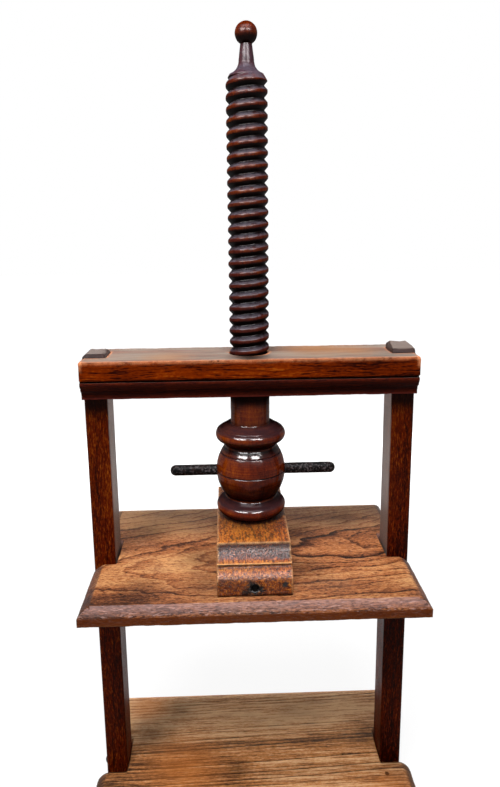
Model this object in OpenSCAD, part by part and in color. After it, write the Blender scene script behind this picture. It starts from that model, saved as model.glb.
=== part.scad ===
// Screw book press in polished oak: two posts stand in the notched ends of a base board
// and carry a tapped beam, and a wooden screw presses a platen board down onto the base.
// Millimetres, +Z up, origin under the middle of the base board.

/* [Base board] */
// How far the base board reaches past the posts at each end
base_ear = 10; // [6:1:40]
// Depth of the base board, front to back
base_d = 220; // [180:2:320]
// Thickness of the base board
base_t = 18; // [16:1:40]

/* [Posts] */
// Clear distance between the two posts
post_gap = 310; // [290:2:420]
// Width of a post, seen from the front
post_w = 25; // [22:0.5:40]
// Depth of a post, front to back
post_d = 36; // [30:0.5:50]
// Rounding of the upright edges of a post
post_round = 1.2; // [0.4:0.1:4]
// How far the left post stands out of the beam
left_stub_h = 4.5; // [3:0.5:14]
// How far the right post stands out of the beam
right_stub_h = 8.5; // [3:0.5:14]
// Slope of the left post's top towards the front, in degrees
left_stub_slope = 1; // [0:0.5:5]
// Slope of the right post's top towards the front, in degrees
right_stub_slope = 7; // [0:0.5:10]
// Chamfer round a post's top
stub_chamfer = 4; // [1:0.5:6]

/* [Beam] */
// Depth of the beam, front to back
beam_d = 76; // [68:1:110]
// Height of the beam
beam_h = 43; // [36:0.5:70]
// Height of the moulded lower part of the beam
beam_mould_h = 22; // [18:0.5:26]
// Rounding of the beam's upper edges
beam_round = 2.5; // [0.5:0.5:6]
// How far the foot of the moulding lies behind the beam's face
beam_draw_in = 9; // [5:0.5:12]
// Setback of the moulding's top behind the beam's face
beam_setback = 0.5; // [0.3:0.1:2]
// Depth of the dark groove above the moulding
quirk_depth = 3; // [1:0.5:5]
// Height of that groove
quirk_h = 2; // [1:0.5:3]
// Height of the plain strip below the moulding
beam_strip_h = 1.5; // [1:0.5:4]

/* [Platen] */
// Open height between the base board and the platen, with the screw right up
daylight = 259; // [160:1:320]
// Gap that is left under the platen when the screw is right down
closed_gap = 0.5; // [0.5:0.5:20]
// Depth of the platen, front to back
platen_d = 244; // [220:2:320]
// Thickness of the platen
platen_t = 17; // [16:0.5:30]
// How far the platen's ends stop short of the outer faces of the posts
platen_short = 2; // [0:0.5:6]
// Play between the platen and the inner faces of the posts
platen_side_play = 2; // [0.5:0.1:4]
// Play between the platen and the front and back faces of the posts
platen_face_play = 1; // [0.5:0.1:3]

/* [Moulded board edges] */
// Width of the moulded edge of the base board and of the platen
edge_w = 11; // [6:0.5:12]
// Height of the moulded edge
edge_h = 8; // [4:0.5:10]
// Radius of its gentle round
edge_round = 20; // [14:1:60]
// Radius of the ears beside the posts
ear_round = 14; // [12:1:16]

/* [Bridge block] */
// Width of the bridge block, seen from the front
block_w = 78; // [70:1:110]
// Length of the bridge block, front to back
block_l = 206; // [170:2:210]
// Height of the bridge block
block_h = 46; // [44:1:60]
// Height of the upright face at the foot of the moulding
block_foot_h = 15; // [14:0.5:18]
// Radius of the convex quarter round above the foot
block_ovolo = 11; // [6:0.5:12]
// Radius of the hollow quarter round below the top
block_hollow = 16; // [10:0.5:18]

/* [Screw] */
// Diameter over the crests of the thread
screw_d = 43.5; // [38:0.5:48]
// Depth of the thread
thread_depth = 3.8; // [2.5:0.1:5]
// Rise of the thread in one turn
thread_lead = 12; // [9:0.5:16]
// Play between the screw's thread and the beam's thread
thread_play = 0.5; // [0.4:0.05:0.8]
// Thread that still stands above the beam when the screw is right down
thread_spare = 22; // [16:1:60]
// Plain shank that shows between the turned head and the beam
shank_show = 37; // [10:0.5:60]
// Height of the neck between the thread and the ball
neck_h = 36; // [34:1:50]
// Height of the tapered shoulder at the foot of the neck
shoulder_h = 7; // [4:0.5:9]
// Diameter of the neck above its hollow
neck_foot_d = 16; // [14.2:0.2:18]
// Diameter of the neck under the ball
neck_d = 12.2; // [10:0.2:14]
// Diameter of the ball
ball_d = 23; // [20:0.5:40]
// Diameter of the spigot that carries the ball
spigot_d = 7.2; // [5:0.2:9]
// Height of that spigot
spigot_h = 9; // [6:0.5:13]

/* [Turned head] */
// Diameter of the two collars
collar_d = 78.5; // [70:0.5:90]
// Height of the upper collar
upper_collar_h = 24; // [20:0.5:28]
// Radius of the roll round the upper collar
upper_roll_r = 8; // [6:0.5:10]
// Height of the lower collar
lower_collar_h = 23; // [18:0.5:28]
// Radius of the roll round the lower collar
lower_roll_r = 8; // [6:0.5:9]
// Width of the flat ring on top of a collar
collar_ring = 5; // [3:0.5:8]
// Diameter of the bulb
bulb_d = 78; // [70:0.5:90]
// Height of the bulb
bulb_h = 57; // [48:1:70]
// Diameter at the narrow places above and below the bulb
waist_d = 59; // [50:0.5:64]
// Height of the narrow places
waist_h = 2; // [1:0.5:6]
// Depth of the scribed lines round the bulb
scribe_depth = 0.8; // [0.3:0.1:1.5]
// Height of the upper scribed line above the middle of the bulb
scribe_rise = 21.5; // [6:0.5:22]

/* [Tommy bar] */
// Diameter of the bar
bar_d = 12.5; // [8:0.5:16]
// Length of the bar
bar_l = 188; // [150:1:200]
// How far the bar sits to the right of the screw
bar_offset = 2.5; // [-10:0.5:10]
// How far the bar sits below the middle of the bulb
bar_drop = 1; // [0:0.5:6]
// Play of the bar in its hole
bar_play = 0.3; // [0.3:0.05:1]

/* [Garter] */
// Diameter of the tail that turns in the bridge block
tail_d = 28; // [24:0.5:34]
// Play of the tail in the bridge block
tail_play = 0.4; // [0.3:0.05:1]
// Diameter of the peg that holds the tail
peg_d = 8; // [5:0.5:9]
// Height of the peg above the platen
peg_z = 9; // [8:0.5:12]
// How far the peg's outer end sits inside the block
peg_recess = 5; // [1:0.5:12]
// Depth of the groove that the peg runs in
garter_depth = 5; // [3:0.5:7]
// Play of the peg in the groove
garter_play = 0.5; // [0.4:0.1:1]

/* [Fasteners] */
// Shank diameter of the bolts at the foot of the posts
bolt_d = 8; // [5:0.5:9]
// Head diameter of those bolts
bolt_head_d = 13; // [10:0.5:15]
// Height of their domed heads
bolt_head_h = 6; // [3:0.5:6.5]
// How far the bolts go into the base board
bolt_bite = 55; // [30:1:70]
// Distance of the bolts behind the middle of the posts
bolt_back = 5; // [0:0.5:8]
// Shank diameter of the wood screws
wood_screw_d = 5; // [3.5:0.5:6]
// Head diameter of the wood screws
wood_screw_head_d = 10; // [8:0.5:12]
// Height of the countersunk heads
wood_screw_head_h = 3; // [2:0.5:4]
// How far the wood screws go into the second piece
wood_screw_bite = 24; // [16:1:28]
// Width of the slot in their heads
slot_w = 1; // [0.6:0.1:1.6]
// Depth of that slot
slot_depth = 1.5; // [0.6:0.1:1.8]
// Distance of the beam's wood screws from its upper and lower faces
beam_screw_inset = 12; // [9:0.5:12]
// Distance of the bridge block's wood screws from its sides
bridge_screw_inset = 13; // [9:0.5:18]

/* [Hidden] */

$fn = 96;

// Air left between two pieces that are fitted together for good
fit_gap = 0.1;
// Reach of a cutting shape past the face that it cuts
over = 1;
// How deep one turned part of the screw is sunk in the next
sink = 0.5;

// Places along X
post_inner_x = post_gap / 2;
post_outer_x = post_inner_x + post_w;
post_mid_x = post_inner_x + post_w / 2;
base_l = 2 * (post_outer_x + base_ear);
platen_l = 2 * (post_outer_x - platen_short);
platen_notch_x = post_inner_x - platen_side_play;

// Places along Z, from the floor up
platen_z = base_t + daylight;
block_z = platen_z + platen_t;
head_z = block_z + block_h;
lower_collar_z = head_z + lower_collar_h / 2;
bulb_z = head_z + lower_collar_h + waist_h + bulb_h / 2;
upper_collar_z = bulb_z + bulb_h / 2 + waist_h + upper_collar_h / 2;
beam_z = upper_collar_z + upper_collar_h / 2 + shank_show;
beam_top_z = beam_z + beam_h;
travel = daylight - closed_gap;
neck_z = beam_top_z + travel + thread_spare;
ball_seat_z = neck_z + neck_h;

// Screw and its tail
screw_r = screw_d / 2;
root_r = screw_r - thread_depth;
shank_r = screw_r + fit_gap;
neck_r = neck_d / 2;
neck_foot_r = neck_foot_d / 2;
tail_r = tail_d / 2;
tail_end_z = block_z + fit_gap + over;
garter_r = tail_r - garter_depth;
garter_h = peg_d + 2 * garter_play;
bar_z = bulb_z - bar_drop;
spigot_r = spigot_d / 2;
ball_r = ball_d / 2;
ball_z = ball_seat_z + sqrt(ball_r * ball_r - neck_r * neck_r);

// Neck: a tapered shoulder narrows to just inside the root of the thread, then a hollow
// of this radius leads up into the slim part
core_r = root_r - sink;
flare_r = screw_r - neck_foot_r;
flare_h = sqrt(pow(flare_r, 2) - pow(screw_r - core_r, 2));
flare_z = neck_z + shoulder_h + flare_h;

// Thread: flats round one turn, the share of a lead by which the first root is raised,
// and the shape from root to root as shares of the lead and of the depth
turn_steps = 36;
thread_phase = 0.05;
thread_shape = [[0, 0], [0.34, 0.93], [0.5, 1], [0.66, 0.93]];
groove_steps = len(thread_shape);
// Thread made beyond the faces of the beam, and inside the shank
thread_run_in = 2.5 * thread_lead;

// Where a collar's sloped shoulders meet its roll, out and up, as shares of the roll's radius
shoulder_out = 0.5;
shoulder_up = 0.8;

// Wood screw places
bridge_screw_x = block_w / 2 - bridge_screw_inset;
bridge_screw_y = block_l / 2 - block_ovolo - block_hollow / 2;
beam_screw_z = [beam_screw_inset, beam_h - beam_screw_inset];

oak_light = "#8a5a30";
oak_mid = "#7a4522";
oak_dark = "#4a2413";
walnut = "#5a2a18";
iron = "#2a2727";

// A rectangle with round corners
module round_rect(w, d, r) {
    square([w - 2 * r, d], center = true);
    square([w, d - 2 * r], center = true);
    for (x = [-1, 1], y = [-1, 1])
        translate([x * (w / 2 - r), y * (d / 2 - r)]) circle(r);
}

// Waste of the moulded edge: x runs inwards from the edge, y up to the board's face at 0
module edge_waste() {
    chord = norm([edge_w, edge_h]);
    reach = sqrt(edge_round * edge_round - chord * chord / 4);
    difference() {
        translate([-over, -edge_h - 3 * over]) square([edge_w + 2 * over, edge_h + 4 * over]);
        translate([edge_w / 2 + reach * edge_h / chord, -edge_h / 2 - reach * edge_w / chord])
            circle(edge_round);
    }
}

// The same waste along a straight edge that starts at the origin and runs along +Y,
// with the board on the -X side
module edge_run(length) {
    rotate([90, 0, 180]) linear_extrude(length) edge_waste();
}

// The corner of one ear, at the origin, with the board towards -X and -Y
module ear_waste(thickness) {
    translate([-ear_round, -ear_round, 0]) {
        translate([0, 0, -thickness - over]) linear_extrude(thickness + 2 * over) difference() {
            square(ear_round + over);
            circle(ear_round);
        }
        rotate_extrude(angle = 90) translate([ear_round, 0]) mirror([1, 0]) edge_waste();
    }
}

// A board with moulded upper edges, notched at both ends where the posts stand
module notched_board(length, depth, thickness, notch_x, notch_d) {
    ear_d = (depth - notch_d) / 2;
    translate([0, 0, thickness]) difference() {
        translate([-length / 2, -depth / 2, -thickness]) cube([length, depth, thickness]);
        for (side = [0, 1]) mirror([side, 0, 0]) {
            translate([notch_x, -notch_d / 2, -thickness - over])
                cube([length, notch_d, thickness + 2 * over]);
            for (face = [0, 1]) mirror([0, face, 0]) {
                translate([length / 2, -depth / 2 - over, 0]) edge_run(ear_d + over - ear_round);
                translate([length / 2, -notch_d / 2, 0]) ear_waste(thickness);
                translate([length / 2 - ear_round, -notch_d / 2, 0])
                    rotate([0, 0, 90]) edge_run(length / 2 - ear_round - notch_x);
            }
        }
        for (face = [0, 1]) mirror([0, face, 0])
            translate([-length / 2 - over, -depth / 2, 0])
                rotate([0, 0, -90]) edge_run(length + 2 * over);
    }
}

// Upper part of the beam's outline with its round edges, standing on y = 0
module beam_body(width, height) {
    square_h = height - beam_round;
    translate([-width / 2, 0]) square([width, square_h]);
    translate([beam_round - width / 2, 0]) square([width - 2 * beam_round, height]);
    for (x = [-1, 1]) translate([x * (width / 2 - beam_round), square_h]) circle(beam_round);
}

// Section through the beam: plain upper part, groove, and an ogee that draws in to the
// foot, round above and hollow below, on both sides
module beam_section(width) {
    ogee_h = beam_mould_h - quirk_h - beam_strip_h;
    ogee_w = beam_draw_in - beam_setback;
    ogee_r = (ogee_h * ogee_h + ogee_w * ogee_w) / (4 * ogee_w);
    mid_z = beam_strip_h + ogee_h / 2;
    top_x = width / 2 - beam_setback;
    foot_x = width / 2 - beam_draw_in;
    mid_x = (top_x + foot_x) / 2;
    quirk_x = top_x - quirk_depth;
    translate([0, beam_mould_h]) beam_body(width, beam_h - beam_mould_h);
    translate([-quirk_x, mid_z]) square([2 * quirk_x, beam_h / 2]);
    for (x = [0, 1]) mirror([x, 0]) {
        intersection() {
            translate([top_x - ogee_r, beam_mould_h - quirk_h]) circle(ogee_r);
            translate([0, mid_z]) square([width, ogee_h / 2]);
        }
        difference() {
            square([mid_x, mid_z]);
            translate([foot_x + ogee_r, beam_strip_h]) circle(ogee_r);
            translate([foot_x, -over]) square([width, beam_strip_h + over]);
        }
    }
}

// Radius that the neck leaves to the thread at a height: the shoulder, then well inside
// the turned neck
function shoulder_radius(z) =
    z < neck_z ? screw_r :
    z <= neck_z + shoulder_h ? screw_r - (screw_r - core_r) * (z - neck_z) / shoulder_h :
    z < flare_z ? screw_r - sink - sqrt(pow(flare_r, 2) - pow(flare_z - z, 2)) :
    neck_r - sink;

// A right-handed thread from one height to another, each groove climbing one lead a turn.
// Its point rows run round the axis along the helix and its columns climb from root to root.
module thread(from_z, to_z, grow) {
    first_z = thread_lead * (ceil(from_z / thread_lead) + thread_phase);
    rows = floor((to_z - first_z) / thread_lead * turn_steps) - turn_steps;
    function place(i, j) =
        let (
            z = first_z + thread_lead * (i / turn_steps + thread_shape[j][0]),
            r = min(root_r + thread_depth * thread_shape[j][1], shoulder_radius(z)) + grow,
            a = 360 * i / turn_steps
        )
        [r * cos(a), r * sin(a), z];
    function at(i, j) = i * groove_steps + j;
    points = [
        for (i = [0:rows], j = [0:groove_steps - 1]) place(i, j),
        [0, 0, first_z],
        [0, 0, first_z + thread_lead * (rows / turn_steps + 0.5)]
    ];
    low_tip = (rows + 1) * groove_steps;
    high_tip = low_tip + 1;
    last = groove_steps - 1;
    low_loop = [
        for (i = [0:turn_steps]) at(i, 0),
        for (j = [last:-1:1]) at(0, j)
    ];
    high_loop = [
        for (i = [rows - turn_steps:rows]) at(i, last),
        for (j = [last - 1:-1:0]) at(rows, j)
    ];
    flank = [
        for (i = [0:rows - 1], j = [0:last - 1])
            each [[at(i, j), at(i, j + 1), at(i + 1, j + 1)], [at(i, j), at(i + 1, j + 1), at(i + 1, j)]],
        for (i = [0:rows - turn_steps - 1])
            let (k = i + turn_steps)
            each [[at(i, last), at(k, 0), at(k + 1, 0)], [at(i, last), at(k + 1, 0), at(i + 1, last)]]
    ];
    low_fan = [
        for (k = [0:len(low_loop) - 1]) [low_tip, low_loop[k], low_loop[(k + 1) % len(low_loop)]]
    ];
    high_fan = [
        for (k = [0:len(high_loop) - 1]) [high_tip, high_loop[(k + 1) % len(high_loop)], high_loop[k]]
    ];
    polyhedron(points, concat(flank, low_fan, high_fan), convexity = 10);
}

// A wood screw that points along +Z, with its countersunk head flush at the origin
module wood_screw(length) {
    point_h = 2 * wood_screw_d;
    tip_r = wood_screw_d / 8;
    difference() {
        rotate_extrude() polygon([
            [0, 0],
            [wood_screw_head_d / 2, 0],
            [wood_screw_d / 2, wood_screw_head_h],
            [wood_screw_d / 2, length - point_h],
            [tip_r, length],
            [0, length]
        ]);
        translate([-wood_screw_head_d, -slot_w / 2, -over])
            cube([2 * wood_screw_head_d, slot_w, over + slot_depth]);
    }
}

// The hole that the same screw fills
module wood_screw_hole(length) {
    head_r = wood_screw_head_d / 2 + fit_gap;
    shank_r = wood_screw_d / 2 + fit_gap;
    rotate_extrude() polygon([
        [0, -over],
        [head_r, -over],
        [head_r, 0],
        [shank_r, wood_screw_head_h],
        [shank_r, length + over],
        [0, length + over]
    ]);
}

// Where the screws through the posts into the beam start, on both sides
module at_beam_screws() {
    for (side = [0, 1], z = beam_screw_z)
        mirror([side, 0, 0]) translate([post_outer_x, 0, beam_z + z]) rotate([0, -90, 0]) children();
}

// Where the bolts through the posts into the base board start, on both sides
module at_post_bolts() {
    for (side = [0, 1])
        mirror([side, 0, 0]) translate([post_outer_x, bolt_back, base_t / 2]) rotate([0, -90, 0]) children();
}

// Where the screws through the platen into the bridge block start
module at_bridge_screws() {
    for (x = [-1, 1], y = [-1, 1])
        translate([x * bridge_screw_x, y * bridge_screw_y, platen_z]) children();
}

// A post with its top sloped to the front and chamfered all round
module post(stub_h, stub_slope) {
    top_z = beam_top_z + stub_h;
    chamfer_z = top_z - stub_chamfer;
    difference() {
        linear_extrude(top_z) round_rect(post_w, post_d, post_round);
        translate([0, post_d / 2, top_z]) rotate([stub_slope, 0, 0])
            translate([-post_w, -2 * post_d, 0]) cube([2 * post_w, 2 * post_d + over, post_d]);
        for (side = [0, 90, 180, 270]) {
            half = side % 180 == 0 ? post_d / 2 : post_w / 2;
            front_drop = side == 0 ? post_d * tan(stub_slope) : 0;
            rotate([0, 0, side])
                translate([0, -half, chamfer_z - front_drop]) rotate([45, 0, 0])
                    translate([-post_d, 0, 0]) cube([2 * post_d, post_d, post_d]);
        }
    }
}

module post_holes() {
    at_beam_screws() wood_screw_hole(post_w + wood_screw_bite);
    at_post_bolts() translate([0, 0, -over])
        cylinder(h = post_w + bolt_bite + 2 * over, d = bolt_d + 2 * fit_gap);
}

module base_board() {
    color(oak_light) difference() {
        notched_board(base_l, base_d, base_t, post_inner_x - fit_gap, post_d + 2 * fit_gap);
        post_holes();
    }
}

module left_post() {
    color(oak_dark) difference() {
        translate([-post_mid_x, 0, 0]) post(left_stub_h, left_stub_slope);
        post_holes();
    }
}

module right_post() {
    color(oak_dark) difference() {
        translate([post_mid_x, 0, 0]) post(right_stub_h, right_stub_slope);
        post_holes();
    }
}

module top_beam() {
    beam_l = 2 * post_outer_x;
    notch_d = post_d + 2 * fit_gap;
    color(oak_mid) difference() {
        translate([0, 0, beam_z]) intersection() {
            translate([-beam_l / 2, 0, 0]) rotate([90, 0, 90]) linear_extrude(beam_l) beam_section(beam_d);
            translate([0, beam_d / 2, 0]) rotate([90, 0, 0]) linear_extrude(beam_d) beam_body(beam_l, beam_h);
        }
        for (side = [0, 1]) mirror([side, 0, 0])
            translate([post_inner_x - fit_gap, -notch_d / 2, beam_z - over])
                cube([post_w + 2 * over, notch_d, beam_h + 2 * over]);
        thread(beam_z - thread_run_in, beam_top_z + thread_run_in, thread_play);
        post_holes();
    }
}

module beam_screws() {
    color(iron) at_beam_screws() wood_screw(post_w + wood_screw_bite);
}

module post_bolts() {
    dome_r = (bolt_head_d * bolt_head_d / 4 + bolt_head_h * bolt_head_h) / (2 * bolt_head_h);
    color(iron) at_post_bolts() {
        cylinder(h = post_w + bolt_bite, d = bolt_d);
        rotate_extrude() intersection() {
            translate([0, dome_r - bolt_head_h]) circle(dome_r);
            translate([0, -bolt_head_h]) square([bolt_head_d / 2, bolt_head_h]);
        }
    }
}

module platen() {
    notch_d = post_d + 2 * platen_face_play;
    color(oak_light) difference() {
        translate([0, 0, platen_z]) notched_board(platen_l, platen_d, platen_t, platen_notch_x, notch_d);
        at_bridge_screws() wood_screw_hole(platen_t + wood_screw_bite);
    }
}

// Side view of the bridge block: foot, quarter round, groove, hollow and flat top at both ends
module block_section() {
    half = block_l / 2;
    hollow_z = block_h - block_hollow;
    ovolo_z = block_foot_h + block_ovolo;
    lip_y = half - block_ovolo;
    difference() {
        union() {
            translate([-half, 0]) square([block_l, block_foot_h]);
            translate([-lip_y, 0]) square([2 * lip_y, block_h]);
            for (y = [-1, 1]) translate([y * lip_y, block_foot_h]) circle(block_ovolo);
        }
        for (y = [-1, 1]) {
            translate([y * lip_y, block_h]) circle(block_hollow);
            translate([y * (lip_y + block_ovolo / 2), (ovolo_z + hollow_z) / 2])
                square([block_ovolo + 2 * over, hollow_z - ovolo_z], center = true);
        }
        translate([-half - over, -block_h]) square([block_l + 2 * over, block_h]);
    }
}

module bridge_block() {
    color(oak_mid) difference() {
        translate([-block_w / 2, 0, block_z]) rotate([90, 0, 90]) linear_extrude(block_w) block_section();
        translate([0, 0, block_z - over]) cylinder(h = block_h + 2 * over, d = tail_d + 2 * tail_play);
        translate([0, -tail_r / 2, block_z + peg_z]) rotate([90, 0, 0])
            cylinder(h = block_l, d = peg_d + 2 * fit_gap);
        at_bridge_screws() wood_screw_hole(platen_t + wood_screw_bite);
    }
}

module bridge_screws() {
    color(iron) at_bridge_screws() wood_screw(platen_t + wood_screw_bite);
}

module garter_peg() {
    tip_y = garter_r + garter_play;
    color(iron) translate([0, -tip_y, block_z + peg_z]) rotate([90, 0, 0])
        cylinder(h = block_l / 2 - peg_recess - tip_y, d = peg_d);
}

// Half outline of a collar: a roll between two sloped shoulders
module collar(height, roll_r, low_r, high_r) {
    middle_r = collar_d / 2 - roll_r;
    shoulder_r = middle_r + shoulder_out * roll_r;
    shoulder_z = shoulder_up * roll_r;
    translate([middle_r, 0]) circle(roll_r);
    polygon([
        [0, -height / 2],
        [low_r, -height / 2],
        [shoulder_r, -shoulder_z],
        [shoulder_r, shoulder_z],
        [high_r, height / 2],
        [0, height / 2]
    ]);
}

// Turned blank below the thread: tail with its groove, collars, bulb and shank
module turned_head() {
    waist_r = waist_d / 2;
    bulb_side = bulb_d / 2 - waist_r;
    bulb_round = (bulb_h * bulb_h / 4 + bulb_side * bulb_side) / (2 * bulb_side);
    rotate_extrude() difference() {
        union() {
            translate([0, tail_end_z]) square([tail_r, head_z - tail_end_z + over]);
            translate([0, lower_collar_z]) collar(lower_collar_h, lower_roll_r, waist_r, waist_r);
            translate([0, lower_collar_z]) square([waist_r, upper_collar_z - lower_collar_z]);
            intersection() {
                translate([bulb_d / 2 - bulb_round, bulb_z]) circle(bulb_round);
                translate([0, bulb_z - bulb_h / 2]) square([bulb_d, bulb_h]);
            }
            translate([0, upper_collar_z])
                collar(upper_collar_h, upper_roll_r, waist_r, shank_r + collar_ring);
            translate([0, upper_collar_z]) square([shank_r, beam_z - sink - upper_collar_z]);
        }
        translate([garter_r, block_z + peg_z - garter_h / 2]) square([tail_r, garter_h]);
        for (z = [bulb_z, bulb_z + scribe_rise])
            translate([bulb_d / 2 - bulb_round + sqrt(pow(bulb_round, 2) - pow(z - bulb_z, 2)), z])
                rotate(45) square(scribe_depth * sqrt(2), center = true);
    }
}

// Turned neck above the thread, with the spigot that carries the ball
module turned_neck() {
    rotate_extrude() {
        difference() {
            polygon([
                [0, neck_z - thread_lead],
                [core_r, neck_z - thread_lead],
                [core_r, flare_z],
                [0, flare_z]
            ]);
            translate([screw_r, flare_z]) circle(flare_r);
        }
        polygon([[0, flare_z - over], [neck_foot_r, flare_z], [neck_r, ball_seat_z], [0, ball_seat_z]]);
        translate([0, ball_seat_z - over]) square([spigot_r, spigot_h + over]);
    }
}

module press_screw() {
    color(walnut) difference() {
        union() {
            turned_head();
            thread(beam_z - thread_run_in, flare_z + thread_lead / 2, 0);
            turned_neck();
        }
        translate([-collar_d, 0, bar_z]) rotate([0, 90, 0])
            cylinder(h = 2 * collar_d, d = bar_d + 2 * bar_play);
    }
}

module finial_ball() {
    color(walnut) difference() {
        translate([0, 0, ball_z]) sphere(ball_r);
        translate([0, 0, ball_seat_z - ball_d]) cylinder(h = ball_d, r = ball_d);
        translate([0, 0, ball_seat_z - over]) cylinder(h = spigot_h + fit_gap + over, r = spigot_r + fit_gap);
    }
}

module tommy_bar() {
    end_r = bar_d / 2;
    color(iron) translate([bar_offset - bar_l / 2, 0, bar_z]) rotate([0, 90, 0]) rotate_extrude() {
        translate([0, end_r]) square([end_r, bar_l - 2 * end_r]);
        for (z = [end_r, bar_l - end_r]) intersection() {
            translate([0, z]) circle(end_r);
            translate([0, z - end_r]) square([end_r, 2 * end_r]);
        }
    }
}

base_board();
left_post();
right_post();
top_beam();
beam_screws();
post_bolts();
platen();
bridge_block();
bridge_screws();
garter_peg();
press_screw();
finial_ball();
tommy_bar();
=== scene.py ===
import math

import bpy
import numpy as np
from mathutils import Matrix, Vector, noise


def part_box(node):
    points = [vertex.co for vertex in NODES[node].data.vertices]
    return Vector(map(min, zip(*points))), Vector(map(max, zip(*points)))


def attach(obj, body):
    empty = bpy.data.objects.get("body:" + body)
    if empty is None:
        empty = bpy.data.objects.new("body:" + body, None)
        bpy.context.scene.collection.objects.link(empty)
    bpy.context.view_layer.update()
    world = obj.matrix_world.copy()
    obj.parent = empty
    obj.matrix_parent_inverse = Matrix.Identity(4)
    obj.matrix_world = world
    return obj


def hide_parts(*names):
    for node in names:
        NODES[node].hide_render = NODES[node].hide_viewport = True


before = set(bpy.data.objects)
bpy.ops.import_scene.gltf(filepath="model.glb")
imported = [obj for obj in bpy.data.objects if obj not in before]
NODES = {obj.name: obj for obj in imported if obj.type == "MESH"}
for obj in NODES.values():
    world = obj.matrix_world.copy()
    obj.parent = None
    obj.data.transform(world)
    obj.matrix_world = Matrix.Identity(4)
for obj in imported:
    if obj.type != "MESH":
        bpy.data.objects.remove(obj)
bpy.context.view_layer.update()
MM = 0.001

# Image size, and the camera that fits the straight edges of the object in the photograph; its
# angles are in radians, and the row where its axis meets the image is counted from the top
IMAGE_W, IMAGE_H = 500, 787
CAMERA_PLACE = Vector((-22.5, -714.6, 669.5)) * MM
CAMERA_YAW = 0.0322
CAMERA_DOWN = 0.2028
CAMERA_ROLL = -0.0109
FOCAL_PX = 661.4
AXIS_Y_PX = 357.2
SENSOR_MM = 36.0
CLIP_NEAR = 0.01
CLIP_FAR = 50

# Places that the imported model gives
BEAM_LOW, BEAM_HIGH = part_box("top_beam")
PLATEN_LOW, PLATEN_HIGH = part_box("platen")
BLOCK_LOW, BLOCK_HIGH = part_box("bridge_block")
_, BASE_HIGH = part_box("base_board")
PEG_LOW, PEG_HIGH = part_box("garter_peg")
SCREW_LOW, SCREW_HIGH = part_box("press_screw")
BALL_LOW, BALL_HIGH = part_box("finial_ball")
BAR_LOW, BAR_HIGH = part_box("tommy_bar")
BAR_Z = (BAR_LOW.z + BAR_HIGH.z) / 2
PEG_Z = (PEG_LOW.z + PEG_HIGH.z) / 2

# Heights of the mouldings on the beam and on the bridge block
BEAM_GROOVE_Z = BEAM_LOW.z + 21 * MM
BLOCK_LIP_Z = BLOCK_HIGH.z - 16 * MM

# Radii and heights of the turned screw, from the bottom up
TAIL_R = 14 * MM
GARTER_R = 9 * MM
GARTER_H = PEG_HIGH.z - PEG_LOW.z + 1 * MM
COLLAR_R = (SCREW_HIGH.x - SCREW_LOW.x) / 2
LOWER_H = 23 * MM
LOWER_ROLL = 8 * MM
UPPER_H = 24 * MM
UPPER_ROLL = 8 * MM
COLLAR_RING = 5 * MM
SHOULDER_OUT = 0.5
SHOULDER_UP = 0.8
BULB_R = 39 * MM
BULB_H = 57 * MM
WAIST_R = 29.5 * MM
WAIST_H = 2 * MM
SCRIBE_DEPTH = 0.8 * MM
SCRIBE_RISE = 21.5 * MM
THREAD_LEAD = 12 * MM
THREAD_R = 21.75 * MM
THREAD_DEPTH = 3.8 * MM
THREAD_PHASE = 0.05
SHANK_R = THREAD_R + 0.1 * MM
NECK_R = 6.1 * MM
NECK_FOOT_R = 8 * MM
NECK_H = 36 * MM
SHOULDER_H = 7 * MM
CORE_R = THREAD_R - THREAD_DEPTH - 0.5 * MM
HEAD_Z = BLOCK_HIGH.z
LOWER_Z = HEAD_Z + LOWER_H / 2
BULB_Z = HEAD_Z + LOWER_H + WAIST_H + BULB_H / 2
UPPER_Z = BULB_Z + BULB_H / 2 + WAIST_H + UPPER_H / 2
COLLAR_TOP = UPPER_Z + UPPER_H / 2
SCRIBES = (BULB_Z, BULB_Z + SCRIBE_RISE, UPPER_Z + SHOULDER_UP * UPPER_ROLL)
THREAD_LOW = BEAM_LOW.z - 0.5 * MM
BALL_SEAT = BALL_LOW.z
THREAD_TOP = BALL_SEAT - NECK_H
FLARE_R = THREAD_R - NECK_FOOT_R
FLARE_TOP = THREAD_TOP + SHOULDER_H + math.sqrt(FLARE_R ** 2 - (THREAD_R - CORE_R) ** 2)

# Outline of the thread: shares of the lead, and of the full depth that stands there
THREAD_SHARES = (0, 0.34, 0.5, 0.66, 1)
THREAD_HEIGHTS = (0, 0.93, 1, 0.93, 0)

# Points round the turned pieces and the bar, and rows along them
ROUND_STEPS = 112
HEAD_STEPS = 190
SHANK_STEPS = 22
THREAD_STEP = 0.75 * MM
BALL_ROUND = 64
BALL_ROWS = 40
BAR_ROUND = 40
BAR_ROWS = 90
BAR_END_ROWS = 9
BAR_END_ANGLE = 0.05

# Cells of the worn copies, and how much their flat places may be thinned out
BOARD_CELL = 1.0 * MM
POST_CELL = 0.9 * MM
BLOCK_CELL = 0.8 * MM
CELL_THINNING = 0.1

# Wear: waves a metre, broad and fine, depths as lengths or as shares of the radius, and seeds
ARRIS_WAVES = (60, 210)
ARRIS_WEAR = 0.5 * MM
SCREW_WAVES = (70, 230)
SCREW_WEAR = 0.35 * MM
SCREW_SEED = 3
BALL_WAVES = 180
BALL_WEAR = 0.012
BALL_WORN_TOP = 0.985
BALL_SEED = 8
BAR_WAVES = (90, 320)
BAR_DENT = 0.035
BAR_SEED = 5

# Weights of wear and of dents: their level, their broad waves and their fine waves
RUB_WEIGHTS = (0.3, 0.8, 0.5)
DENT_WEIGHTS = (0.4, 0.7, 0.6)
RUB_MOST = 1.0
DENT_MOST = 1.3

# How far one step of a seed shifts the noise along x, y and z
SEED_STEPS = (7.3, 3.1, 5.7)

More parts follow.
